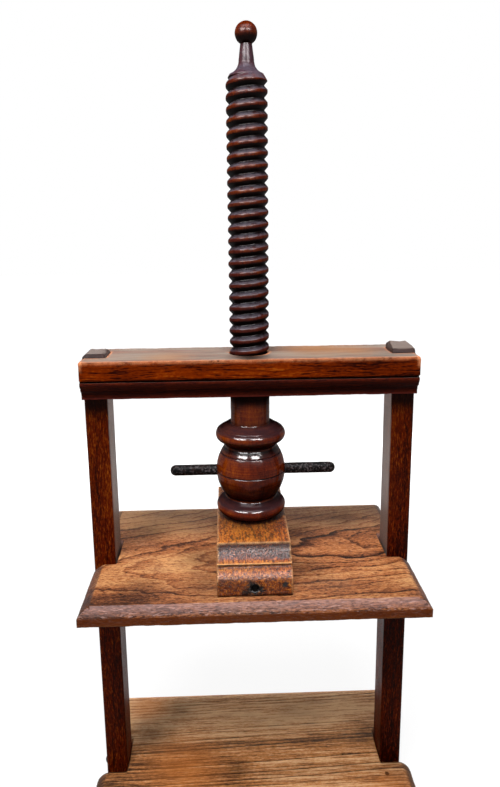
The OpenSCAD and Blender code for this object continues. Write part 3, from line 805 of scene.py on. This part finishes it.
def head_radius(z):
    """Outline of the turned head from the block up to the shank, with its scribed lines."""
    side = BULB_R - WAIST_R
    bulb_round = (BULB_H ** 2 / 4 + side ** 2) / (2 * side)
    bulb = BULB_R - bulb_round + round_at(z, BULB_Z, bulb_round)
    bulb = np.where(np.abs(z - BULB_Z) <= BULB_H / 2, bulb, 0)
    lower = collar_at(z, LOWER_Z, LOWER_H, LOWER_ROLL, WAIST_R, WAIST_R)
    upper = collar_at(z, UPPER_Z, UPPER_H, UPPER_ROLL, WAIST_R, SHANK_R + COLLAR_RING)
    waist = np.where(z <= UPPER_Z, WAIST_R, 0)
    outline = np.maximum.reduce([bulb, lower, upper, waist])
    for mark in SCRIBES:
        outline = outline - np.maximum(SCRIBE_DEPTH - np.abs(z - mark), 0)
    return outline


def neck_radius(z):
    """Outline of the blank from the thread up to the ball."""
    shoulder = np.interp(z, [THREAD_TOP, THREAD_TOP + SHOULDER_H], [THREAD_R, CORE_R])
    flare = THREAD_R - round_at(z, FLARE_TOP, FLARE_R)
    neck = np.interp(z, [FLARE_TOP, BALL_SEAT], [NECK_FOOT_R, NECK_R])
    return np.where(z < THREAD_TOP + SHOULDER_H, shoulder, np.where(z < FLARE_TOP, flare, neck))


def screw_outline():
    """Heights and radii of the screw before its thread is cut, and which rows are threaded."""
    groove_low = PEG_Z - GARTER_H / 2
    groove_high = PEG_Z + GARTER_H / 2
    tail_z = [SCREW_LOW.z, SCREW_LOW.z, groove_low, groove_low, groove_high, groove_high, HEAD_Z]
    tail_r = [TAIL_R / 2, TAIL_R, TAIL_R, GARTER_R, GARTER_R, TAIL_R, TAIL_R]
    scribes = [mark + share * SCRIBE_DEPTH for mark in SCRIBES for share in (-1, -0.5, 0, 0.5, 1)]
    head_z = np.unique(np.append(np.linspace(HEAD_Z, COLLAR_TOP, HEAD_STEPS), scribes))
    shank_z = np.linspace(COLLAR_TOP, THREAD_LOW, SHANK_STEPS)
    thread_z = np.append(np.arange(THREAD_LOW, BALL_SEAT, THREAD_STEP), BALL_SEAT)
    heights = np.concatenate([tail_z, head_z, shank_z, thread_z])
    shank_r = np.full(SHANK_STEPS, SHANK_R)
    radii = np.concatenate([tail_r, head_radius(head_z), shank_r, neck_radius(thread_z)])
    return heights, radii, np.arange(len(heights)) >= len(heights) - len(thread_z)


def build_screw(head, thread):
    """Turned screw with its thread cut into the blank and grime with painted shade marked in the grooves.
    """
    heights, radii, threaded = screw_outline()
    angles = np.linspace(0, 2 * math.pi, ROUND_STEPS, endpoint=False)
    share = (heights[:, None] / THREAD_LEAD - THREAD_PHASE - angles / (2 * math.pi)) % 1
    ridge = THREAD_R - THREAD_DEPTH * (1 - np.interp(share, THREAD_SHARES, THREAD_HEIGHTS))
    radius = np.where(threaded[:, None], np.minimum(ridge, radii[:, None]), radii[:, None])
    tall = np.repeat(heights[:, None], ROUND_STEPS, 1)
    rings = np.stack([radius * np.cos(angles), radius * np.sin(angles), tall], 2)
    rub = uneven(rings.reshape(-1, 3), SCREW_WAVES, SCREW_SEED, RUB_WEIGHTS, RUB_MOST)
    rings[..., :2] *= (1 - SCREW_WEAR * rub.reshape(radius.shape) / radius)[..., None]
    obj = skin("turned_screw", rings, [[0, 0, SCREW_LOW.z], [0, 0, BALL_SEAT]])
    cut = threaded & (heights < THREAD_TOP)
    deep = np.clip((THREAD_R - radius) / (GROOVE_FULL * THREAD_DEPTH), 0, 1)
    dirt_and_shade = GROOVE_DIRT_AND_SHADE * deep * cut[:, None]
    groove = obj.data.attributes.new("groove", "FLOAT", "POINT")
    groove.data.foreach_set("value", np.append(dirt_and_shade.ravel(), [0, 0]).astype(np.float32))
    take(obj, "screw", "screw_wood", "press_screw", head, thread)
    for face in obj.data.polygons:
        face.material_index = int(face.center.z > THREAD_LOW)
    return obj


def build_ball(material):
    """Ball with its flat seat on the neck, a little worn."""
    ball_r = (BALL_HIGH.x - BALL_LOW.x) / 2
    middle = BALL_HIGH.z - ball_r
    low = math.asin((BALL_SEAT - middle) / ball_r)
    tilt = np.linspace(low, math.pi / 2, BALL_ROWS)[:-1, None]
    angles = np.linspace(0, 2 * math.pi, BALL_ROUND, endpoint=False)
    tall = np.repeat(np.sin(tilt), BALL_ROUND, 1)
    rings = ball_r * np.stack([np.cos(tilt) * np.cos(angles), np.cos(tilt) * np.sin(angles), tall], 2)
    rub = np.clip(0.5 + noise_at(rings.reshape(-1, 3), BALL_WAVES, BALL_SEED), 0, 1)
    rings *= (1 - BALL_WEAR * rub).reshape(*tall.shape, 1)
    rings[..., 2] += middle
    obj = skin("turned_ball", rings, [[0, 0, BALL_SEAT], [0, 0, middle + BALL_WORN_TOP * ball_r]])
    take(obj, "screw", "screw_wood", "finial_ball", material)
    return obj


def build_bar(material):
    """Hand-forged round bar with blunt ends and an uneven skin."""
    bar_r = (BAR_HIGH.y - BAR_LOW.y) / 2
    length = BAR_HIGH.x - BAR_LOW.x
    ends = bar_r * (1 - np.cos(np.linspace(BAR_END_ANGLE, math.pi / 2, BAR_END_ROWS)))
    run = np.concatenate([ends, np.linspace(bar_r, length - bar_r, BAR_ROWS)[1:-1], length - ends[::-1]])
    inset = np.clip(np.minimum(run, length - run) / bar_r, 0, 1)
    reach = bar_r * np.sqrt(1 - (1 - inset) ** 2)[:, None]
    angles = np.linspace(0, 2 * math.pi, BAR_ROUND, endpoint=False)
    along = np.repeat((BAR_LOW.x + run)[:, None], BAR_ROUND, 1)
    rings = np.stack([along, reach * np.cos(angles), reach * np.sin(angles)], 2)
    dent = uneven(rings.reshape(-1, 3), BAR_WAVES, BAR_SEED, DENT_WEIGHTS, DENT_MOST)
    rings[..., 1:] *= (1 - BAR_DENT * dent).reshape(*along.shape, 1)
    rings[..., 2] += BAR_Z
    obj = skin("forged_bar", rings, [[BAR_LOW.x, 0, BAR_Z], [BAR_HIGH.x, 0, BAR_Z]])
    take(obj, "bar", "bar_iron", "tommy_bar", material)


def make_world():
    """White where it is seen, directly or as gloss, and weaker as light on the object."""
    world = bpy.data.worlds.new("world")
    bpy.context.scene.world = world
    world.use_nodes = True
    g = Graph(world.node_tree)
    inputs = {"Value": g.shown_rays(), "To Min": AMBIENT, "To Max": 1.0}
    strength = g.add("ShaderNodeMapRange", inputs).outputs[0]
    background = g.add("ShaderNodeBackground", {"Color": (1, 1, 1, 1), "Strength": strength})
    g.add("ShaderNodeOutputWorld", {"Surface": background.outputs[0]})


def make_floor():
    """Pale floor that keeps the shadow near the press and fades to white further off."""
    corners = [(-1, -1), (1, -1), (1, 1), (-1, 1)]
    points = [[x * FLOOR_HALF, y * FLOOR_HALF, 0] for x, y in corners]
    floor = mesh_object("floor", points, [[0, 1, 2, 3]])
    material, tree = new_tree("floor")
    g = Graph(tree)
    place = g.add("ShaderNodeTexCoord").outputs["Object"]
    low = (FLOOR_ALBEDO * (1 - FLOOR_MOTTLE),) * 3 + (1,)
    high = (FLOOR_ALBEDO * (1 + FLOOR_MOTTLE),) * 3 + (1,)
    tint = g.mix(g.total(0.5, (g.noise(place, 3.0), 1.0)), low, high)
    matte = g.add("ShaderNodeBsdfDiffuse", {"Color": tint}).outputs[0]
    away = g.add("ShaderNodeVectorMath", {0: place}, operation="LENGTH").outputs["Value"]
    whiter = g.total(FLOOR_GLOW, (g.step(away, *FLOOR_FADE), 1.0 - FLOOR_GLOW))
    strength = g.both(g.shown_rays(), whiter)
    glow = g.add("ShaderNodeEmission", {"Color": (1, 1, 1, 1), "Strength": strength}).outputs[0]
    both = g.add("ShaderNodeAddShader", {0: matte, 1: glow}).outputs[0]
    g.add("ShaderNodeOutputMaterial", {"Surface": both})
    floor.data.materials.append(material)


def area_light(name, place, aim, size, power, colour=WHITE):
    """A rectangular lamp that the camera does not see itself."""
    data = bpy.data.lights.new(name, "AREA")
    data.shape = "RECTANGLE"
    data.size, data.size_y = size
    data.energy = power
    data.color = colour
    lamp = bpy.data.objects.new(name, data)
    lamp.location = place
    lamp.rotation_euler = (Vector(aim) - Vector(place)).to_track_quat("-Z", "Y").to_euler()
    lamp.visible_camera = False
    bpy.context.scene.collection.objects.link(lamp)
    return lamp


def gloss_lamp(name, azimuth, height, far, size, radiance, colour=WHITE):
    """A lamp that is seen in polished faces only; angles in degrees from the front of the press."""
    turn = math.radians(azimuth)
    rise = math.radians(height)
    out = Vector((math.sin(turn) * math.cos(rise), -math.cos(turn) * math.cos(rise), math.sin(rise)))
    power = radiance * math.pi * size[0] * size[1]
    lamp = area_light(name, GLOSS_AIM + far * out, GLOSS_AIM, size, power, colour)
    lamp.visible_diffuse = False
    return lamp


def shine_on(lamp, pieces):
    """Lets a lamp reach the given pieces alone."""
    receivers = bpy.data.collections.new(lamp.name)
    for piece in pieces:
        receivers.objects.link(piece)
    lamp.light_linking.receiver_collection = receivers


def make_lights(polished):
    """A soft key from above, a low fill from behind, and lamps that only show as gloss.

    The two soft boxes reach the polished pieces alone."""
    area_light("key", place=(-0.45, -1.5, 3.4), aim=(0, 0, 0.3), size=(2.2, 1.6), power=KEY_POWER)
    fill = area_light(
        "rear_fill", place=(0, 1.3, 0.3), aim=(0, 0.05, 0.02), size=(1.6, 0.3), power=FILL_POWER,
    )
    fill.visible_glossy = False
    gloss_lamp(
        "ceiling", azimuth=0, height=82, far=3.2, size=(3.0, 2.4), radiance=SHEEN_RADIANCE,
        colour=COOL_WHITE,
    )
    for name, azimuth, width in (("left_softbox", -39, 1.48), ("right_softbox", 21, 1.38)):
        lamp = gloss_lamp(
            name, azimuth, height=37, far=2.5, size=(width, 0.52), radiance=SOFTBOX_RADIANCE,
        )
        shine_on(lamp, polished)


make_camera()
make_world()
make_floor()

post = post_oak()
waxed = thread_wood()
dress("base_board", "worn_base", "frame", "oak_base", base_oak(), BOARD_CELL, seed=11)
dress("left_post", "worn_left_post", "frame", "oak_post", post, POST_CELL, seed=14)
dress("right_post", "worn_right_post", "frame", "oak_post", post, POST_CELL, seed=15)
dress("top_beam", "worn_beam", "frame", "oak_beam", beam_oak(), POST_CELL, seed=13)
dress("platen", "worn_platen", "platen_carriage", "oak_platen", platen_oak(), BOARD_CELL, seed=12)
block = dress(
    "bridge_block", "worn_block", "platen_carriage", "oak_block", block_oak(), BLOCK_CELL, seed=16,
)
screw = build_screw(head_wood(), waxed)
ball = build_ball(waxed)
build_bar(iron("bar_iron", base="060505", light="5e5456", rust="3a2018", rust_share=0.4))
fastener_iron = iron("dark_iron", base="0c0a09", light="221d1b", rust="33201a", rust_share=0.5)
for node in ("post_bolts", "beam_screws", "bridge_screws", "garter_peg"):
    NODES[node].data.materials.clear()
    NODES[node].data.materials.append(fastener_iron)

make_lights((screw, ball, block))
bpy.context.scene.view_settings.view_transform = "Standard"
